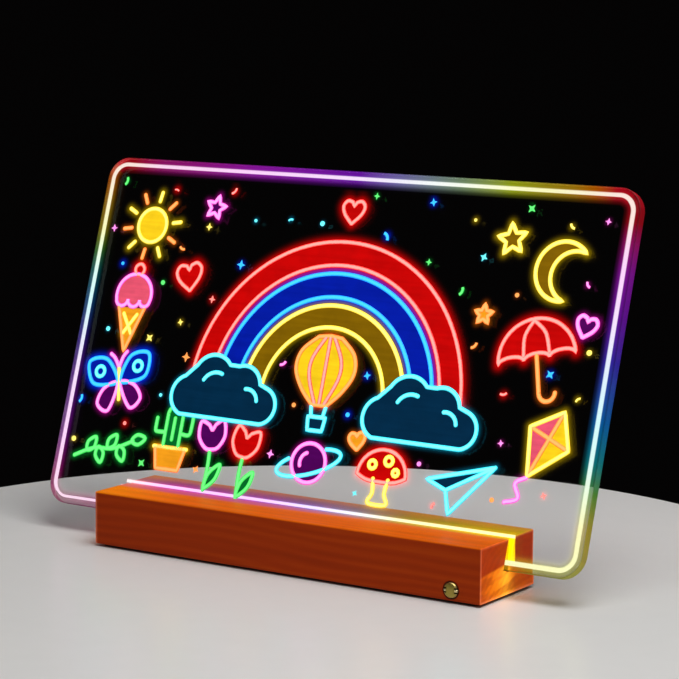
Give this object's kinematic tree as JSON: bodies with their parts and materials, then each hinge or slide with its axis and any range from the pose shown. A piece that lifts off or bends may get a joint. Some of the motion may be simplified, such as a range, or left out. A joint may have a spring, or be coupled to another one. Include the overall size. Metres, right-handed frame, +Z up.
{
  "type": "led writing board",
  "caption": "Light-up writing board: clear sheet leaning in the open slot of a wooden base that holds a lamp strip, a battery and a push button.",
  "frame": {"origin": "on the table, under the middle of the wooden base", "axes": "+X along the base to the right as seen from the front, +Y to the back, the way the sheet leans, +Z up"},
  "size_m": [0.368, 0.0989, 0.2232],
  "materials": {
    "wood": "satin, oiled cherry-coloured wood with a straight fine grain",
    "clear_sheet": "polished clear acrylic, frosted in the engraved border",
    "milky_plastic": "milky diffuser plastic",
    "channel_metal": "drawn, anodised",
    "white_board": "white solder mask",
    "lamp_plastic": "moulded lamp package with a clear window",
    "cover_steel": "black powder coat",
    "foam": "closed-cell foam sheet",
    "screw_steel": "zinc plated",
    "clip_steel": "spring steel",
    "green_board": "green solder mask",
    "black_plastic": "moulded",
    "white_plastic": "moulded",
    "ferrite": "sintered, matt",
    "capacitor_can": "drawn can",
    "socket_steel": "nickel plated, bright",
    "battery_foil": "laminated foil pouch",
    "white_foam": "double-sided foam tape",
    "button_brass": "turned brass, slightly aged",
    "red_wire": "insulated wire",
    "black_wire": "insulated wire",
    "green_wire": "insulated wire",
    "white_wire": "insulated wire"
  },
  "bodies": {
    "base": {"base_block": "wood", "base_pad": "foam", "light_diffuser": "milky_plastic", "led_channel": "channel_metal", "led_strip": "white_board", "bottom_cover": "cover_steel", "control_board": "green_board", "controller_chip": "black_plastic", "charger_chip": "black_plastic", "inductor": "ferrite", "capacitor": "capacitor_can", "switch_body": "black_plastic", "usb_shell": "socket_steel", "usb_tongue": "black_plastic", "battery_cell": "battery_foil", "battery_tape": "white_foam", "battery_connector": "white_plastic", "battery_wire_red": "red_wire", "battery_wire_black": "black_wire", "led_wire_power": "red_wire", "led_wire_data": "green_wire", "led_wire_ground": "white_wire", "button_bush": "button_brass", "channel_clip_left": "clip_steel", "channel_clip_right": "clip_steel", "led_01": "lamp_plastic", "led_02": "lamp_plastic", "led_03": "lamp_plastic", "led_04": "lamp_plastic", "led_05": "lamp_plastic", "led_06": "lamp_plastic", "led_07": "lamp_plastic", "led_08": "lamp_plastic", "led_09": "lamp_plastic", "led_10": "lamp_plastic", "led_11": "lamp_plastic", "led_12": "lamp_plastic", "led_13": "lamp_plastic", "led_14": "lamp_plastic", "led_15": "lamp_plastic", "led_16": "lamp_plastic", "channel_clip_screw_1": "screw_steel", "channel_clip_screw_2": "screw_steel", "channel_clip_screw_3": "screw_steel", "channel_clip_screw_4": "screw_steel", "board_screw_1": "screw_steel", "board_screw_2": "screw_steel", "board_screw_3": "screw_steel", "board_screw_4": "screw_steel", "cover_screw_1": "screw_steel", "cover_screw_2": "screw_steel", "cover_screw_3": "screw_steel", "cover_screw_4": "screw_steel", "cover_screw_5": "screw_steel", "cover_screw_6": "screw_steel"},
    "panel": {"acrylic_panel": "clear_sheet"},
    "button": {"button_cap": "button_brass", "button_clip": "clip_steel", "switch_plunger": "white_plastic"}
  },
  "joints": [
    {"name": "panel_lift", "type": "slide", "parent": "base", "child": "panel", "axis": [0, 0.309, 0.9511], "range_m": [0, 0.022]},
    {"name": "button_press", "type": "slide", "parent": "base", "child": "button", "axis": [0, 1, 0], "range_m": [0, 0.0008], "stiffness_N_per_m": 1500}
  ]
}
